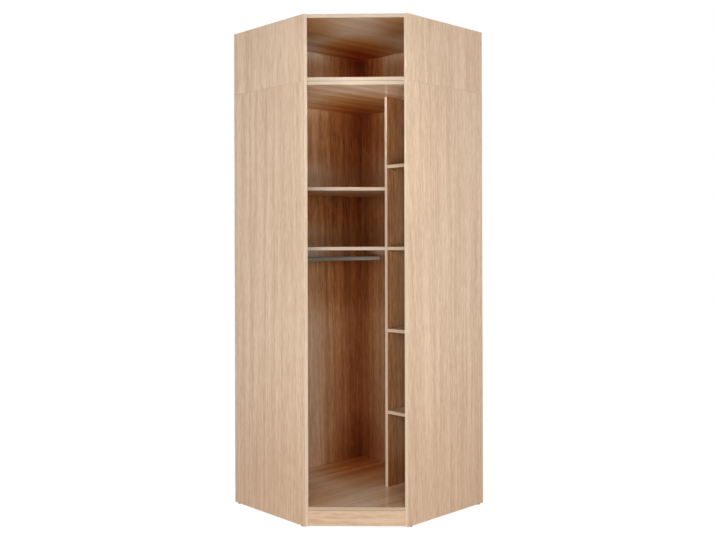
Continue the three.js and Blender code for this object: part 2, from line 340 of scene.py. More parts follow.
class InnerShade(Enum):
    """The painted shade inside the wardrobe, for each kind of board."""

    LEFT_WALL = PaintedShade(
        powers=(1.31, 1.38, 1.40),
        at_corner=1.80,
        reach=0.66,
        least=0.20,
        foot=0.95,
        steps=(
            ShadeStep(0.860, 1.060, 0.50),
            ShadeStep(1.222, 1.252, -1.00),
            ShadeStep(1.265, 1.290, 0.80),
            ShadeStep(1.340, 1.460, 0.74),
            ShadeStep(1.560, 1.600, -1.12),
            ShadeStep(1.660, 1.800, 0.60, in_corner=0.20),
            ShadeStep(1.800, 1.950, -0.05, in_corner=0.50),
            ShadeStep(1.960, 2.030, -0.35, in_corner=0.45),
        ),
    )
    RIGHT_WALL = PaintedShade(
        powers=(1.31, 1.38, 1.40),
        at_corner=1.72,
        reach=0.43,
        least=0.30,
        foot=0.60,
        steps=(
            ShadeStep(0.860, 1.060, 0.40),
            ShadeStep(1.222, 1.252, -0.85),
            ShadeStep(1.265, 1.295, 0.85),
            ShadeStep(1.340, 1.420, 0.25),
            ShadeStep(1.560, 1.600, -0.65),
            ShadeStep(1.660, 1.880, 0.70),
            ShadeStep(1.800, 1.950, -0.10, in_corner=0.60),
            ShadeStep(1.960, 2.030, -0.35, in_corner=0.45),
        ),
    )
    BOX_LEFT = PaintedShade(
        powers=(1.25, 1.38, 1.38),
        at_corner=3.30,
        reach=0.59,
        least=0.60,
        steps=(ShadeStep(2.250, 2.340, -0.70, in_corner=1.50),),
    )
    BOX_RIGHT = PaintedShade(
        powers=(1.25, 1.38, 1.38),
        at_corner=3.40,
        reach=0.46,
        least=0.85,
        steps=(ShadeStep(2.250, 2.340, -0.60, in_corner=0.80),),
    )
    CEILING = PaintedShade(powers=(1.70, 1.53, 1.70), at_corner=3.28, reach=0.80, beside_panels=0.25)
    ROOF = PaintedShade(powers=(0.78, 1.43, 1.92), at_corner=3.05, reach=0.67, beside_panels=1.00)
    FLOOR = PaintedShade(powers=(1.20, 1.35, 1.42), at_corner=2.74, reach=0.70, beside_panels=0.60)
    WIDE_SHELF = PaintedShade(powers=(1.00, 1.43, 1.71), at_corner=0.65, reach=0.85, least=0.20)
    DIVIDER = PaintedShade(
        powers=(1.50, 1.48, 1.50),
        at_corner=0.00,
        reach=1.00,
        least=1.28,
        to_the_rear=-0.33,
        steps=(
            ShadeStep(0.130, 0.300, -0.42),
            ShadeStep(0.400, 0.600, 0.07),
            ShadeStep(1.300, 1.450, 0.05),
            ShadeStep(1.600, 1.780, 0.16),
            ShadeStep(1.860, 1.980, 0.12),
        ),
    )
    COLUMN_SHELF = PaintedShade(
        powers=(1.50, 1.48, 1.50),
        at_corner=0.00,
        reach=1.00,
        least=0.10,
        to_the_rear=-0.50,
        steps=(ShadeStep(1.450, 1.600, 0.60),),
    )


@dataclass(frozen=True)
class Figure:
    """The width and length of a grain, how much its parts show, and how calm it turns under the
    painted shade inside.
    """

    coarseness: float
    lane_length: float
    rings: float
    lanes: float
    streaks: float
    hairs: float
    calming: float


class Veneer(Enum):
    """The figures of the boards."""

    FINE = Figure(
        coarseness=1.0, lane_length=0.80,
        rings=0.22, lanes=0.26, streaks=0.31, hairs=0.21, calming=0.25,
    )
    BROAD = Figure(
        coarseness=1.8, lane_length=1.40,
        rings=0.24, lanes=0.50, streaks=0.18, hairs=0.08, calming=0.50,
    )


@dataclass(frozen=True)
class Board:
    """How a board lies, and how its tones differ from the other boards: painted light and shade on
    its faces and edges.
    """

    facing: Axis
    grain: Axis
    # The painted shade that the board gets inside the wardrobe.
    inner: InnerShade
    # The tones below are painted light and shade: lighter or darker faces and edges of the same oak.
    painted_face_light: float = 1.0
    painted_band_light: float = 1.0
    painted_band_warmth: float = 1.0

    @property
    def figure(self) -> Figure:
        """The figure of its veneer, which is broader on boards that lie flat."""
        return (Veneer.BROAD if self.facing is Axis.UP else Veneer.FINE).value


def toned(colour: Colour, tone: float, warmth: float = 1.0) -> Colour:
    """The colour, darker or lighter, and with more or less of its hue."""
    return tuple(tone * part**warmth for part in colour)


@dataclass(frozen=True)
class OakFinish:
    """Light oak on the faces of one board, with a paler band on its edges, and with painted light and
    shade: inside the wardrobe, low on upright boards, as a seam shadow on the chamfers of flat
    boards, and in each board's own tones.

    A span is where something begins and where it is complete. A size is a length and a width.
    """

    name: str
    board: Board
    seed: float

    pale: Colour = (0.753, 0.576, 0.416)
    deep: Colour = (0.546, 0.371, 0.246)
    middling: Colour = (0.645, 0.470, 0.328)
    pore: Colour = (0.400, 0.250, 0.150)
    fleck: Colour = (0.830, 0.680, 0.530)
    band_pale: Colour = (0.780, 0.625, 0.470)
    band_deep: Colour = (0.660, 0.500, 0.355)
    # Painted shadow: the near-black colour of the chamfers on flat boards.
    seam_shadow: Colour = (0.035, 0.020, 0.011)
    # Painted shade: the tint that upright boards take towards the floor.
    low_shade_tint: Colour = (0.905, 0.855, 0.825)
    side_shade: Colour = (0.74, 0.52, 0.32)

    heart_depth: float = 0.040
    heart_slope: float = 0.045
    heart_drift: float = 0.120
    ring_width: float = 0.012
    ring_length: float = 1.400
    ring_detail: float = 3.0
    bend_size: Span = (0.360, 0.160)
    wander: float = 0.026
    lane_width: float = 0.035
    streak_size: Span = (0.068, 0.0065)
    hair_size: Span = (0.034, 0.0028)
    pore_size: Span = (0.018, 0.0007)
    fleck_size: Span = (0.010, 0.0025)
    lump_roughness: float = 0.6

    tone_span: Span = (0.35, 0.65)
    pore_span: Span = (0.60, 0.72)
    fleck_span: Span = (0.64, 0.74)
    pores_lost_in_rings: float = 0.6
    pore_share: float = 0.55
    band_pore_share: float = 0.25
    fleck_share: float = 0.35
    roughness: float = 0.44
    pore_roughness: float = 0.10
    deep_roughness: float = 0.08
    tone_relief: float = 0.35
    pore_relief: float = 0.5
    relief_depth: float = 0.25 * MM
    relief_share: float = 0.5
    shine: float = 0.25
    lacquer: float = 0.65
    lacquer_roughness: float = 0.15

    edge_span: Span = (0.80, 0.90)
    eased_span: Span = (0.40, 0.60)
    # The heights over which the painted shade near the floor fades out.
    low_shade_span: Span = (0.10, 1.00)
    # Where the painted shade inside falls and how it spreads.
    cavity: float = 0.4225
    cavity_low: float = 0.0920
    cavity_high: float = 2.3390
    brink: float = 1 * MM
    back_fade: float = 8 * MM
    narrowing: float = 2.2
    foot_size: float = 0.30
    rear_span: Span = (0.23, 0.34)
    beside_span: Span = (0.05, 0.42)
    front_span: Span = (0.50, 0.68)

    def material(self) -> Material:
        """Make the finish.

        Returns:
            The material.
        """
        material, sheet = new_material(f"oak_{self.name}")
        place, normal, figure = sheet.place(), sheet.normal(), self.board.figure
        lies_flat = self.board.facing is Axis.UP
        turned = abs(sheet.dot(normal, self.board.facing.value))
        edge = 1 - turned.rise(*self.edge_span)
        along, across = self.grain_place(place, normal, edge)
        rings = self.rings(along, across)
        lanes = self.lumps(along, across, (figure.lane_length, self.lane_width))
        streaks = self.lumps(along, across, self.streak_size)
        hairs = self.lumps(along, across, self.hair_size)
        tone = figure.rings * rings + figure.lanes * lanes
        tone = (tone + figure.streaks * streaks + figure.hairs * hairs).rise(*self.tone_span)
        pores = self.lumps(along, across, self.pore_size).rise(*self.pore_span)
        pores = pores * (1 - self.pores_lost_in_rings * rings)
        flecks = self.lumps(along, across, self.fleck_size).rise(*self.fleck_span)

        face = sheet.pick(tone, self.face(self.deep), self.face(self.pale))
        face = sheet.pick(flecks * self.fleck_share, face, self.face(self.fleck))
        face = sheet.pick(pores * self.pore_share, face, self.face(self.pore))
        # Painted shade: upright boards grow darker towards the floor.
        if not lies_flat:
            low_shade = 1 - sheet.dot(place, Axis.UP.value).rise(*self.low_shade_span)
            face = sheet.pick(low_shade, face, self.low_shade_tint, "MULTIPLY")
        # Painted shade inside the wardrobe.
        face = self.paint_inner_shade(place, face)
        band = sheet.pick(tone, self.band(self.band_deep), self.band(self.band_pale))
        band = sheet.pick(pores * self.band_pore_share, band, self.band(self.pore))
        # Painted shadow: on flat boards the chamfers take a near-black colour for the shade along
        # their edges and in the seam groove between stacked boards.
        eased = self.seam_shadow if lies_flat else face
        band = sheet.pick(turned.rise(*self.eased_span), band, eased)
        rough = self.pore_roughness * pores + self.deep_roughness * (1 - tone)
        relief = self.tone_relief * tone - self.pore_relief * pores
        sockets = {
            "Base Color": sheet.pick(edge, face, band),
            "Roughness": self.roughness + rough,
            "Normal": sheet.bump(relief, self.relief_depth, self.relief_share),
            "Specular IOR Level": self.shine,
        }
        if lies_flat:
            sockets["Coat Weight"] = self.lacquer * (1 - edge)
            sockets["Coat Roughness"] = self.lacquer_roughness
        sheet.end_in_surface(sockets)
        return material

    def face(self, colour: Colour) -> Colour:
        """A colour in the tone of this board's faces, with their painted light and shade."""
        return toned(colour, self.board.painted_face_light)

    def band(self, colour: Colour) -> Colour:
        """A colour in the tone of this board's edges, with their painted light and shade."""
        return toned(colour, self.board.painted_band_light, self.board.painted_band_warmth)

    def grain_place(self, place: Wire, normal: Wire, edge: Wire) -> tuple[Wire, Wire]:
        """Find where a point lies in the grain, which runs along each edge of the board.

        Args:
            place: the point.
            normal: the direction that the surface faces.
            edge: 1 on the board's edges, 0 on its faces.

        Returns:
            The place along the grain and the place across it.
        """
        sheet, facing, grain = place.sheet, self.board.facing.vector, self.board.grain.vector
        face_along = sheet.dot(place, grain)
        face_across = sheet.dot(place, facing.cross(grain))
        edge_along = sheet.dot(place, sheet.vector_maths("CROSS_PRODUCT", facing, normal))
        edge_across = sheet.dot(place, facing)
        along = face_along + edge * (edge_along - face_along)
        across = face_across + edge * (edge_across - face_across)
        return along, across

    def rings(self, along: Wire, across: Wire) -> Wire:
        """Growth rings that arch over the heart of the board and run straight beside it.

        Args:
            along: the place along the grain.
            across: the place across it.

        Returns:
            The rings, from 0 to 1.
        """
        sheet, (length, width) = along.sheet, self.bend_size
        bend = sheet.noise(sheet.vector(along / length, across / width, self.seed), detail=0.0)
        lane = across + self.wander * (bend - NOISE_MIDDLE) + self.heart_drift * math.sin(self.seed)
        depth = self.heart_depth + self.heart_slope * (along + math.cos(self.seed))
        radius = (lane * lane + depth * depth) ** 0.5
        at = sheet.vector(radius / self.ring_width, self.seed, along / self.ring_length)
        return sheet.noise(at, self.ring_detail)

    def lumps(self, along: Wire, across: Wire, size: Span) -> Wire:
        """Noise whose lumps have one length and width.

        Args:
            along: the place along the grain.
            across: the place across it.
            size: the length and the width.

        Returns:
            The noise, from 0 to 1.
        """
        sheet, length, width = along.sheet, size[0], size[1] * self.board.figure.coarseness
        at = sheet.vector(along / length, across / width, self.seed + length)
        return sheet.noise(at, roughness=self.lump_roughness)

    def paint_inner_shade(self, place: Wire, colour: Wire) -> Wire:
        """Paint shade inside the wardrobe, where light falls from board to board: darker and deeper
        in hue towards the rear corner.

        Args:
            place: the point.
            colour: the colour outside.

        Returns:
            The colour with painted shade, calmer and raised to a power that grows towards the rear
            corner.
        """
        sheet, inner = place.sheet, self.board.inner.value
        x, y, z = (sheet.dot(place, axis.value) for axis in (Axis.RIGHT, Axis.BACK, Axis.UP))
        from_left, from_right = self.cavity + x, self.cavity - y
        within = self.within(from_left, from_right, z)
        inward = HALF_ROOT * (from_left + from_right)
        aside = HALF_ROOT * self.narrowing * (from_left - from_right)
        out = sheet.length(sheet.vector(inward, aside, 0.0))
        nearness = (1 - out / inner.reach).larger(0.0)

        depth = (inner.at_corner * nearness).larger(inner.least)
        for step in inner.steps:
            gain = step.everywhere + step.in_corner * nearness
            depth = depth + gain * z.rise(step.begin, step.end)
        if inner.to_the_rear:
            depth = depth + inner.to_the_rear * (1 - from_right.rise(*self.rear_span))
        if inner.foot:
            from_foot = sheet.length(sheet.vector(from_left, from_right, z - self.cavity_low))
            depth = depth + inner.foot * (1 - from_foot / self.foot_size).larger(0.0)

        # Under the painted shade the grain turns calmer towards the rear corner.
        calming = self.board.figure.calming * within * nearness
        calm = sheet.pick(calming, colour, self.face(self.middling))
        power = sheet.vector_maths("MULTIPLY_ADD", within * depth, inner.powers, WHITE)
        deep = sheet.vector_maths("POWER", calm, power)
        if not inner.beside_panels:
            return deep
        beside = abs(aside).rise(*self.beside_span) * inward.rise(*self.front_span)
        return sheet.pick(inner.beside_panels * within * beside, deep, self.side_shade, "MULTIPLY")

    def within(self, from_left: Wire, from_right: Wire, z: Wire) -> Wire:
        """1 inside the wardrobe, where shade is painted, and 0 on the outer faces of its boards.

        Args:
            from_left: the distance from the left back panel's inner face.
            from_right: the distance from the right back panel's inner face.
            z: the height.

        Returns:
            The mask.
        """
        across = 2 * self.cavity
        outside = (from_left - across).larger(from_right - across).rise(-self.brink / 2, 0.0)
        behind = (0 - from_left).larger(0 - from_right).rise(0.0, self.back_fade)
        above = z.rise(self.cavity_low - self.brink, self.cavity_low)
        below = 1 - z.rise(self.cavity_high - self.brink, self.cavity_high)
        return (1 - outside.larger(behind)) * above * below


@dataclass(frozen=True)
class MetalFinish:
    """Metal of one tone, brushed along an axis, with a few bright scuffs across it, and a painted
    sheen towards one end where painted_sheen_end is given.
    """

    name: str
    tone: Colour
    scuff_and_sheen: Colour
    brushed: Axis
    metallic: float
    roughness: float
    # Painted sheen towards one end: where it begins and where it is complete along the brushing axis.
    painted_sheen_end: Span | None = None
    shine: float = 0.5
    line_size: Point = (0.5 * MM, 60 * MM, 0.5 * MM)
    line_depth: float = 0.03 * MM
    line_relief: float = 0.4
    line_roughness: float = 0.12
    dull_share: float = 0.80
    cloud_size: Point = (70 * MM,) * 3
    cloud_detail: float = 3.0
    cloud_roughness: float = 0.10
    scuff_width: float = 4 * MM
    scuff_seed: float = 3.0
    scuff_span: Span = (0.62, 0.80)
    scuff_and_sheen_share: float = 0.65

    def material(self) -> Material:
        """Make the finish.

        Returns:
            The material.
        """
        material, sheet = new_material(self.name)
        place = sheet.place()
        along = sheet.dot(place, self.brushed.value)
        lines = sheet.clouds(place, self.line_size)
        cloud = sheet.clouds(place, self.cloud_size, self.cloud_detail)
        scuffs_and_sheen = sheet.noise(sheet.vector(along / self.scuff_width, cloud, self.scuff_seed))
        scuffs_and_sheen = scuffs_and_sheen.rise(*self.scuff_span) * cloud
        # Painted sheen: towards one end the metal turns to the scuff colour.
        if self.painted_sheen_end:
            scuffs_and_sheen = scuffs_and_sheen.larger(along.rise(*self.painted_sheen_end))
        worn = sheet.pick(lines, toned(self.tone, self.dull_share), self.tone)
        rough = self.line_roughness * (lines - NOISE_MIDDLE)
        rough = rough + self.cloud_roughness * (cloud - NOISE_MIDDLE)
        sheet.end_in_surface({
            "Base Color": sheet.pick(scuffs_and_sheen * self.scuff_and_sheen_share, worn, self.scuff_and_sheen),
            "Roughness": self.roughness + rough,
            "Metallic": self.metallic,
            "Specular IOR Level": self.shine,
            "Normal": sheet.bump(lines, self.line_depth, self.line_relief),
        })
        return material


@dataclass(frozen=True)
class BeechFinish:
    """Pale beech with short dark rays along a turned dowel."""

    name: str = "beech"
    pale: Colour = (0.690, 0.490, 0.300)
    deep: Colour = (0.560, 0.360, 0.200)
    ray: Colour = (0.360, 0.210, 0.110)
    grain_size: Point = (0.7 * MM, 0.7 * MM, 9 * MM)
    grain_span: Span = (0.3, 0.7)
    ray_size: Point = (0.3 * MM, 0.3 * MM, 2.5 * MM)
    ray_span: Span = (0.58, 0.70)
    ray_share: float = 0.6
    ray_relief: float = 0.5
    roughness: float = 0.70
    ray_roughness: float = 0.10
    relief_depth: float = 0.10 * MM
    relief_share: float = 0.5

    def material(self) -> Material:
        """Make the finish.

        Returns:
            The material.
        """
        material, sheet = new_material(self.name)
        place = sheet.place()
        grain = sheet.clouds(place, self.grain_size)
        rays = sheet.clouds(place, self.ray_size).rise(*self.ray_span)
        wood = sheet.pick(grain.rise(*self.grain_span), self.deep, self.pale)
        relief = grain - self.ray_relief * rays
        sheet.end_in_surface({
            "Base Color": sheet.pick(rays * self.ray_share, wood, self.ray),
            "Roughness": self.roughness + self.ray_roughness * rays,
            "Normal": sheet.bump(relief, self.relief_depth, self.relief_share),
        })
        return material


@dataclass(frozen=True)
class PlasticFinish:
    """Dark moulded plastic with a fine spark texture and rubbed high spots."""

    name: str
    tone: Colour = (0.030, 0.026, 0.023)
    rubbed: Colour = (0.090, 0.080, 0.070)
    spark_size: Point = (0.35 * MM,) * 3
    spark_depth: float = 0.04 * MM
    spark_relief: float = 0.5
    cloud_size: Point = (6 * MM,) * 3
    cloud_detail: float = 3.0
    rubbed_span: Span = (0.45, 0.75)
    rubbed_share: float = 0.5
    roughness: float = 0.45
    cloud_roughness: float = 0.20

    def material(self) -> Material:
        """Make the finish.

        Returns:
            The material.
        """
        material, sheet = new_material(self.name)
        place = sheet.place()
        sparks = sheet.clouds(place, self.spark_size)
        cloud = sheet.clouds(place, self.cloud_size, self.cloud_detail)
        high = cloud.rise(*self.rubbed_span) * self.rubbed_share
        sheet.end_in_surface({
            "Base Color": sheet.pick(high, self.tone, self.rubbed),
            "Roughness": self.roughness + self.cloud_roughness * (cloud - NOISE_MIDDLE),
            "Normal": sheet.bump(sparks, self.spark_depth, self.spark_relief),
        })
        return material


def arc(middle: Span, radius: float, start: float, end: float, steps: int = 5) -> Profile:
    """Points of an arc in a profile, where 90 degrees point along the axis."""
    angles = [math.radians(start + (end - start) * k / steps) for k in range(steps + 1)]
    return [(middle[0] + radius * math.cos(a), middle[1] + radius * math.sin(a)) for a in angles]


@dataclass(frozen=True)
class Turning:
    """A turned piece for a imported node: a profile of radius and distance, spun round an axis."""

    name: str
    node: str
    profile: Profile
    axis: Vector
    sides: int = 48
    hollow: bool = False
    fluting: Callable[[float], float] | None = None
    crease_degrees: float = 32.0

    def build(self) -> bpy.types.Object:
        """Make the mesh.

        Returns:
            The object, at the origin, with its place in its mesh.
        """
        mesh = bpy.data.meshes.new(self.name)
        shape = bmesh.new()
        start = self.start()
        rings = [self.ring(shape, start, *spot) for spot in self.profile]
        pairs = list(zip(rings, rings[1:]))
        if self.hollow:
            pairs.append((rings[-1], rings[0]))
        for low, high in pairs:
            self.join(shape, low, high)
        bmesh.ops.recalc_face_normals(shape, faces=shape.faces)
        shape.to_mesh(mesh)
        shape.free()
        mesh.shade_smooth()
        mesh.set_sharp_from_angle(angle=math.radians(self.crease_degrees))
        made = bpy.data.objects.new(self.name, mesh)
        bpy.context.scene.collection.objects.link(made)
        return made

    def ring(self, shape: Shape, start: Vector, radius: float, distance: float) -> Ring:
        """Add one ring of points, or a single point where the radius is 0.

        Args:
            shape: the mesh to add to.
            start: where the piece starts.
            radius: the ring's radius.
            distance: how far it lies along the axis.

        Returns:
            The ring's points.
        """
        side = self.axis.orthogonal().normalized()
        up = self.axis.cross(side)
        middle = start + self.axis * distance
        if radius == 0:
            return [shape.verts.new(middle)]
        points = []
        for k in range(self.sides):
            angle = 2 * math.pi * k / self.sides
            reach = radius - (self.fluting(angle) if self.fluting else 0)
            spot = middle + reach * (side * math.cos(angle) + up * math.sin(angle))
            points.append(shape.verts.new(spot))
        return points

    def join(self, shape: Shape, low: Ring, high: Ring) -> None:
        """Put faces between two rings or a ring and a single point.

        Args:
            shape: the mesh to add to.
            low: the first ring along the axis.
            high: the next ring.
        """
        for k in range(self.sides):
            near = [low[k % len(low)], low[(k + 1) % len(low)]]
            far = [high[(k + 1) % len(high)], high[k % len(high)]]
            shape.faces.new(dict.fromkeys(near + far))

    def start(self) -> Vector:
        """Find where the piece starts.

        Returns:
            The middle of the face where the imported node's box begins.
        """
        low, high = (Vector(corner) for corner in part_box(self.node))
        middle, half = (low + high) / 2, (high - low) / 2
        return middle - self.axis * abs(self.axis.dot(half))

    def fit(self, material: Material, slot: Slot) -> None:
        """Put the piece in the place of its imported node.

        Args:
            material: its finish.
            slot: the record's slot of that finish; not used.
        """
        piece, node = self.build(), self.node
        piece.data.materials.append(material)
        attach(piece, "root")
        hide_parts(node)
        log.info("piece %s stands for %s", piece.name, node)


@dataclass
class BoardSet:
    """The boards of one sub-assembly."""

    first_seed: float
    seed_step: float = 1.7

    def boards(self) -> dict[str, Board]:
        """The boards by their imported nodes."""
        raise NotImplementedError

    def build(self) -> None:
        """Dress each board in oak with a grain of its own."""
        for k, (node, board) in enumerate(self.boards().items()):
            finish = OakFinish(node, board, self.first_seed + k * self.seed_step)
            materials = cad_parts[node].data.materials
            materials.clear()
            materials.append(finish.material())
            log.info("board %s", node)


def flat(inner: InnerShade, painted_face_light: float, painted_band_light: float, painted_band_warmth: float = 1.0) -> Board:
    """A board that lies flat, with its grain from the front to the back."""
    return Board(Axis.UP, Axis.BACK, inner, painted_face_light, painted_band_light, painted_band_warmth)


def shell(prefix: str, left: InnerShade, right: InnerShade) -> dict[str, Board]:
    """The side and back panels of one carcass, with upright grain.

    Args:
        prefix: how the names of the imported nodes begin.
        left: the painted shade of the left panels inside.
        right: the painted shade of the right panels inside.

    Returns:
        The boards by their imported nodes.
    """
    return {
        # The side panels' tones paint light and shade on their faces and edges.
        f"{prefix}_left_side": Board(Axis.BACK, Axis.UP, left, painted_face_light=0.985, painted_band_light=0.87),
        f"{prefix}_right_side": Board(Axis.RIGHT, Axis.UP, right, painted_face_light=0.98, painted_band_light=0.91),
        f"{prefix}_left_back": Board(Axis.RIGHT, Axis.UP, left),
        f"{prefix}_right_back": Board(Axis.BACK, Axis.UP, right),
    }


@dataclass
class LowerCarcass(BoardSet):
    """The tall carcass, with its plinth and divider."""

    first_seed: float = 3.1

    def boards(self) -> dict[str, Board]:
        """List the carcass's boards.

        Returns:
            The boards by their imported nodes.
        """
        return shell("lower", InnerShade.LEFT_WALL, InnerShade.RIGHT_WALL) | {
            # The face and band tones here are painted light and shade for each board.
            "lower_floor_board": flat(InnerShade.FLOOR, painted_face_light=1.26, painted_band_light=0.59, painted_band_warmth=1.33),
            "lower_top_board": flat(InnerShade.CEILING, painted_face_light=1.26, painted_band_light=0.54),
            "plinth": Board(Axis.OUT_OF_OPENING, Axis.ALONG_OPENING, InnerShade.LEFT_WALL, painted_face_light=0.88),
            "floor_support_rail": Board(Axis.RIGHT, Axis.BACK, InnerShade.LEFT_WALL),
            "divider": Board(Axis.RIGHT, Axis.UP, InnerShade.DIVIDER, painted_band_light=0.98),
        }


@dataclass
class TopBox(BoardSet):
    """The low carcass that stands on the tall one."""

    first_seed: float = 21.4

    def boards(self) -> dict[str, Board]:
        """List the box's boards.

        Returns:
            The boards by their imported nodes.
        """
        return shell("top_box", InnerShade.BOX_LEFT, InnerShade.BOX_RIGHT) | {
            # The face and band tones here are painted light and shade for each board.
            "top_box_floor": flat(InnerShade.FLOOR, painted_face_light=1.00, painted_band_light=0.555),
            "top_box_roof": flat(InnerShade.ROOF, painted_face_light=1.17, painted_band_light=0.66),
        }


@dataclass
class Shelves(BoardSet):
    """The column's shelves and the wide shelves."""

    first_seed: float = 37.9

    def boards(self) -> dict[str, Board]:
        """List the shelves, counted from below.

        Returns:
            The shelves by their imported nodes.
        """
        # The face and band tones here are painted light and shade for each board.
        column = flat(InnerShade.COLUMN_SHELF, painted_face_light=1.00, painted_band_light=1.08, painted_band_warmth=1.25)
        wide = flat(InnerShade.WIDE_SHELF, painted_face_light=1.00, painted_band_light=0.70)
        shelves = {f"column_shelf_{k + 1}": column for k in range(COLUMN_SHELVES)}
        return shelves | {f"wide_shelf_{k + 1}": wide for k in range(WIDE_SHELVES)}


@dataclass
class HangingRail:
    """The rail, the plugs that carry its ends and their screws."""

    diameter: float = 22 * MM
    wall: float = 1 * MM
    rim: float = 0.3 * MM
    base_diameter: float = 21 * MM
    base_thickness: float = 2.7 * MM
    spigot_diameter: float = 19.4 * MM
    spigot_length: float = 16 * MM
    lead_in: float = 1.5 * MM
    bore_diameter: float = 4.6 * MM
    sink_diameter: float = 8.6 * MM
    sink_depth: float = 2.4 * MM
    screw_diameter: float = 4 * MM
    screw_root: float = 2.9 * MM
    screw_pitch: float = 1.4 * MM
    screw_point: float = 3 * MM
    screw_length: float = 27.7 * MM
    thread_share: float = 0.7
    crest_share: float = 0.4
    root_share: float = 0.8
    head_diameter: float = 8 * MM
    recess_diameter: float = 3.4 * MM
    recess_depth: float = 1.6 * MM
    tube_sides: int = 96
    screw_sides: int = 24

    def build(self) -> None:
        """Build and dress the rail with its fittings."""
        # The slate rail has a painted sheen that lightens it towards its back end.
        slate = MetalFinish(
            name="slate_rail", tone=(0.300, 0.315, 0.285), scuff_and_sheen=(1.000, 1.000, 0.930),
            brushed=Axis.BACK, metallic=0.30, roughness=0.40, painted_sheen_end=(0.03, 0.45), shine=0.20,
        ).material()
        steel = MetalFinish(
            name="screw_steel", tone=(0.560, 0.560, 0.550), scuff_and_sheen=(0.750, 0.750, 0.740),
            brushed=Axis.BACK, metallic=1.0, roughness=0.30,
        ).material()
        plastic = PlasticFinish("plug_plastic").material()
        self.tube().fit(slate, Slot.RAIL)
        for side, axis in {"left": Axis.BACK.vector, "right": Axis.FRONT.vector}.items():
            self.plug(side, axis).fit(plastic, Slot.PLASTIC)
            self.screw(side, axis).fit(steel, Slot.PIN)

    def tube(self) -> Turning:
        """The rail itself, a tube with eased ends.

        Returns:
            The tube.
        """
        axis = Axis.BACK.vector
        low, high = (Vector(corner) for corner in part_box("hanging_rail"))
        length = (high - low).dot(axis)
        outer, bore, rim = self.diameter / 2, self.diameter / 2 - self.wall, self.rim
        profile = [
            *arc((outer - rim, rim), rim, -90, 0),
            *arc((outer - rim, length - rim), rim, 0, 90),
            *arc((bore + rim, length - rim), rim, 90, 180),
            *arc((bore + rim, rim), rim, 180, 270),
        ]
        return Turning("rail_tube", "hanging_rail", profile, axis, self.tube_sides, hollow=True)

    def plug(self, side: str, axis: Vector) -> Turning:
        """A plug with a countersunk bore.

        Args:
            side: the end of the rail that it carries.
            axis: the way the rail leaves the plug.

        Returns:
            The plug.
        """
        base, spigot, rim = self.base_diameter / 2, self.spigot_diameter / 2, self.rim
        tip = self.base_thickness + self.spigot_length
        profile = [
            (self.bore_diameter / 2, 0),
            (base - rim, 0),
            *arc((base - rim, rim), rim, -90, 0),
            *arc((base - rim, self.base_thickness - rim), rim, 0, 90),
            (spigot, self.base_thickness),
            (spigot, tip - self.lead_in),
            (spigot - self.lead_in, tip),
            (self.sink_diameter / 2, tip),
            (self.bore_diameter / 2, tip - self.sink_depth),
        ]
        name, node = f"rail_end_plug_{side}", f"rail_plug_{side}"
        return Turning(name, node, profile, axis, hollow=True)

    def screw(self, side: str, axis: Vector) -> Turning:
        """A countersunk wood screw.

        Args:
            side: the end of the rail that it holds.
            axis: from the screw's point to its head.

        Returns:
            The screw.
        """
        crest, root, pitch = self.screw_diameter / 2, self.screw_root / 2, self.screw_pitch
        top, head_bottom = self.screw_length, self.screw_length - self.sink_depth
        turns = int((head_bottom - self.screw_point) * self.thread_share / pitch)
        profile = [(0, 0), (root, self.screw_point)]
        for k in range(turns):
            foot = self.screw_point + k * pitch
            profile.append((crest, foot + pitch * self.crest_share))
            profile.append((root, foot + pitch * self.root_share))
        profile += [
            (crest, self.screw_point + (turns + self.crest_share) * pitch),
            (crest, head_bottom),
            (self.head_diameter / 2, top - self.rim),
            (self.head_diameter / 2, top),
            (self.recess_diameter / 2, top),
            (0, top - self.recess_depth),
        ]
        name, node = f"countersunk_screw_{side}", f"rail_screw_{side}"
        return Turning(name, node, profile, axis, self.screw_sides)


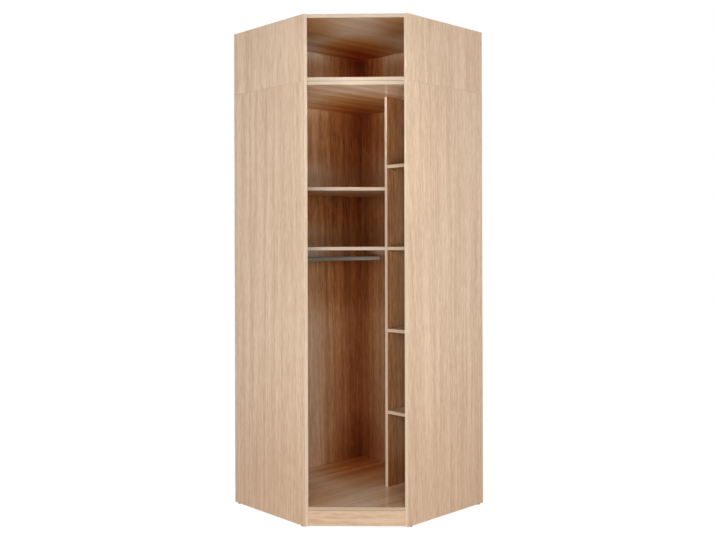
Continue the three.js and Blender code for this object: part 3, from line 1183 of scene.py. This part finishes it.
@dataclass
class ShelfPins:
    """The steel pins that carry the shelves."""

    peg_diameter: float = 5 * MM
    peg_length: float = 8.3 * MM
    peg_chamfer: float = 0.6 * MM
    head_diameter: float = 7 * MM
    head_length: float = 8.7 * MM
    head_round: float = 1 * MM
    head_rim: float = 0.3 * MM
    rim_steps: int = 3
    sides: int = 32

    def places(self) -> dict[str, Axis]:
        """List the pins.

        Returns:
            Each pin's node, with the way the pin points out of its panel.
        """
        found = {}
        for k in range(COLUMN_SHELVES):
            for row in ("front", "rear"):
                found[f"column_pin_{k + 1}_left_{row}"] = Axis.RIGHT
                found[f"column_pin_{k + 1}_right_{row}"] = Axis.LEFT
        for k in range(WIDE_SHELVES):
            found[f"wide_pin_{k + 1}_side"] = Axis.BACK
            found[f"wide_pin_{k + 1}_left_back"] = Axis.RIGHT
            found[f"wide_pin_{k + 1}_right_back"] = Axis.FRONT
            found[f"wide_pin_{k + 1}_divider"] = Axis.LEFT
        return found

    def build(self) -> None:
        """Build and dress the pins."""
        steel = MetalFinish(
            name="pin_steel", tone=(0.340, 0.310, 0.280), scuff_and_sheen=(0.520, 0.490, 0.450),
            brushed=Axis.UP, metallic=1.0, roughness=0.38,
            line_size=(0.2 * MM, 0.2 * MM, 2 * MM), cloud_size=(5 * MM,) * 3, scuff_width=0.5 * MM,
        ).material()
        for node, axis in self.places().items():
            self.pin(node, axis.vector).fit(steel, Slot.PIN)

    def pin(self, node: str, axis: Vector) -> Turning:
        """One pin.

        Args:
            node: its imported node.
            axis: the way the pin points out of its panel.

        Returns:
            The pin.
        """
        peg, head, rim = self.peg_diameter / 2, self.head_diameter / 2, self.head_rim
        foot, tip = self.peg_length, self.peg_length + self.head_length
        profile = [
            (0, 0),
            (peg - self.peg_chamfer, 0),
            (peg, self.peg_chamfer),
            (peg, foot),
            (head - rim, foot),
            *arc((head - rim, foot + rim), rim, -90, 0, self.rim_steps),
            *arc((head - self.head_round, tip - self.head_round), self.head_round, 0, 90),
            (0, tip),
        ]
        return Turning(f"turned_{node}", node, profile, axis, self.sides)


@dataclass
class Glides:
    """The plastic glides under the boards, each on its nail."""

    foot_diameter: float = 16 * MM
    height: float = 4 * MM
    foot_round: float = 1 * MM
    rim: float = 0.5 * MM
    rim_steps: int = 3
    nail_diameter: float = 2.4 * MM
    nail_length: float = 14 * MM
    nail_point: float = 3 * MM
    sides: int = 40
    names: tuple[str, ...] = (
        "left_front", "left_rear", "right_front", "right_rear", "corner", "right_back", "support",
    )

    def build(self) -> None:
        """Build and dress the glides."""
        plastic = PlasticFinish("glide_plastic").material()
        for name in self.names:
            self.glide(name).fit(plastic, Slot.PLASTIC)

    def glide(self, name: str) -> Turning:
        """One glide with its nail.

        Args:
            name: where it stands.

        Returns:
            The glide.
        """
        foot, nail, rim = self.foot_diameter / 2, self.nail_diameter / 2, self.rim
        tip = self.height + self.nail_length
        profile = [
            (0, 0),
            *arc((foot - self.foot_round, self.foot_round), self.foot_round, -90, 0),
            *arc((foot - rim, self.height - rim), rim, 0, 90, self.rim_steps),
            (nail, self.height),
            (nail, tip - self.nail_point),
            (0, tip),
        ]
        return Turning(f"foot_{name}", f"glide_{name}", profile, Axis.UP.vector, self.sides)


@dataclass
class BoxDowels:
    """The fluted beech dowels between the two carcasses."""

    diameter: float = 8 * MM
    chamfer: float = 1 * MM
    flute_depth: float = 0.3 * MM
    flutes: int = 18
    sides_per_flute: int = 6
    names: tuple[str, ...] = ("corner", "left", "right")

    def build(self) -> None:
        """Build and dress the dowels."""
        beech = BeechFinish().material()
        for name in self.names:
            self.dowel(name).fit(beech, Slot.DOWEL)

    def dowel(self, name: str) -> Turning:
        """One dowel.

        Args:
            name: where it stands.

        Returns:
            The dowel.
        """
        node, axis = f"box_dowel_{name}", Axis.UP.vector
        low, high = (Vector(corner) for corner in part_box(node))
        length, radius = (high - low).dot(axis), self.diameter / 2
        profile = [
            (0, 0),
            (radius - self.chamfer, 0),
            (radius, self.chamfer),
            (radius, length - self.chamfer),
            (radius - self.chamfer, length),
            (0, length),
        ]
        sides = self.flutes * self.sides_per_flute
        return Turning(f"fluted_dowel_{name}", node, profile, axis, sides, fluting=self.groove)

    def groove(self, angle: float) -> float:
        """How deep the flutes are at an angle round the dowel."""
        return self.flute_depth * max(0.0, math.cos(self.flutes * angle)) ** 2


@dataclass(frozen=True)
class Lamp:
    """A soft panel lamp that shines on the wardrobe."""

    name: str
    place: Point
    aim: Point
    power: float
    width: float = 0.15
    height: float = 0.15
    spread_degrees: float = 180.0

    def build(self) -> None:
        """Hang the lamp."""
        light = bpy.data.lights.new(self.name, "AREA")
        light.shape = "RECTANGLE"
        light.size = self.width
        light.size_y = self.height
        light.energy = self.power
        light.spread = math.radians(self.spread_degrees)
        lamp = bpy.data.objects.new(self.name, light)
        lamp.location = self.place
        lamp.rotation_mode = "QUATERNION"
        lamp.rotation_quaternion = (Vector(self.aim) - Vector(self.place)).to_track_quat("-Z", "Y")
        lamp.visible_camera = False
        bpy.context.scene.collection.objects.link(lamp)
        log.info("lamp %s", self.name)


@dataclass
class Studio:
    """The camera, the floor and the light."""

    camera_place: Point = (3.1792, -3.0165, 1.2965)
    turn_degrees: float = 46.18
    roll_degrees: float = 0.16
    focal_pixels: float = 873.2
    sight_pixel: Span = (363.06, 244.6)
    sensor_width: float = 36.0
    floor_half: float = 14.0
    floor_tone: float = 0.80
    floor_glow: float = 1.58
    shadow_share: float = 0.5
    sky: float = 0.43
    seen_sky: float = 1.0
    lamps: tuple[Lamp, ...] = (
        Lamp("low_lamp", (3.0, -2.8, 0.45), (0.0, 0.0, 1.4), power=80.0, width=3.0, height=0.8),
        Lamp("high_lamp", (3.0, -2.8, 1.95), (0.0, 0.0, 1.5), power=70.0, width=3.0, height=0.9),
        Lamp("box_lamp", (1.6, -1.6, 1.75), (-0.1, 0.1, 2.2), power=0.25, spread_degrees=18.0),
        Lamp("ceiling_lamp", (1.85, -1.35, 0.4), (0.0, 0.0, 1.95), power=0.20, spread_degrees=20.0),
    )

    def build(self) -> None:
        """Set up the studio."""
        self.camera()
        self.floor()
        self.world()
        for lamp in self.lamps:
            lamp.build()
        bpy.context.scene.view_settings.view_transform = "Standard"

    def camera(self) -> None:
        """Place the camera at the photograph's view."""
        data = bpy.data.cameras.new("camera")
        data.sensor_width = self.sensor_width
        data.lens = self.focal_pixels / PICTURE_WIDTH * self.sensor_width
        data.shift_x = (PICTURE_WIDTH / 2 - self.sight_pixel[0]) / PICTURE_WIDTH
        data.shift_y = (self.sight_pixel[1] - PICTURE_HEIGHT / 2) / PICTURE_WIDTH
        turn = math.radians(self.turn_degrees)
        ahead = Vector((-math.sin(turn), math.cos(turn), 0.0))
        camera = bpy.data.objects.new("camera", data)
        camera.location = self.camera_place
        camera.rotation_mode = "QUATERNION"
        roll = Quaternion(ahead, math.radians(self.roll_degrees))
        camera.rotation_quaternion = roll @ ahead.to_track_quat("-Z", "Y")
        bpy.context.scene.collection.objects.link(camera)
        bpy.context.scene.camera = camera
        log.info("camera")

    def floor(self) -> None:
        """Lay a pale floor that shows white to the camera and keeps a soft shadow."""
        half = self.floor_half
        mesh = bpy.data.meshes.new("studio_floor")
        corners = [(-half, -half, 0), (half, -half, 0), (half, half, 0), (-half, half, 0)]
        mesh.from_pydata(corners, [], [range(len(corners))])
        floor = bpy.data.objects.new("studio_floor", mesh)
        bpy.context.scene.collection.objects.link(floor)
        material, sheet = new_material("studio_floor")
        paint = {"Color": opaque((self.floor_tone,) * 3)}
        seen = sheet.blend(
            self.shadow_share,
            sheet.glow("ShaderNodeEmission", self.floor_glow),
            sheet.node("ShaderNodeBsdfDiffuse", None, {"Color": opaque(WHITE)}),
        )
        lit = sheet.node("ShaderNodeBsdfDiffuse", None, paint)
        sheet.end_in("ShaderNodeOutputMaterial", sheet.blend(sheet.looked_at(), lit, seen))
        mesh.materials.append(material)
        log.info("floor")

    def world(self) -> None:
        """Surround the wardrobe with an even sky that shows white."""
        world = bpy.data.worlds.new("studio_sky")
        world.use_nodes = True
        sheet = Sheet(world.node_tree)
        sky = sheet.blend(
            sheet.looked_at(),
            sheet.glow("ShaderNodeBackground", self.sky),
            sheet.glow("ShaderNodeBackground", self.seen_sky),
        )
        sheet.end_in("ShaderNodeOutputWorld", sky)
        bpy.context.scene.world = world
        log.info("sky")


def main() -> None:
    """Build the wardrobe and its studio."""
    logging.basicConfig(level=logging.INFO, format="%(message)s")
    parts = (
        LowerCarcass(),
        TopBox(),
        Shelves(),
        HangingRail(),
        ShelfPins(),
        Glides(),
        BoxDowels(),
        Studio(),
    )
    for part in parts:
        part.build()


if __name__ == "__main__":
    main()
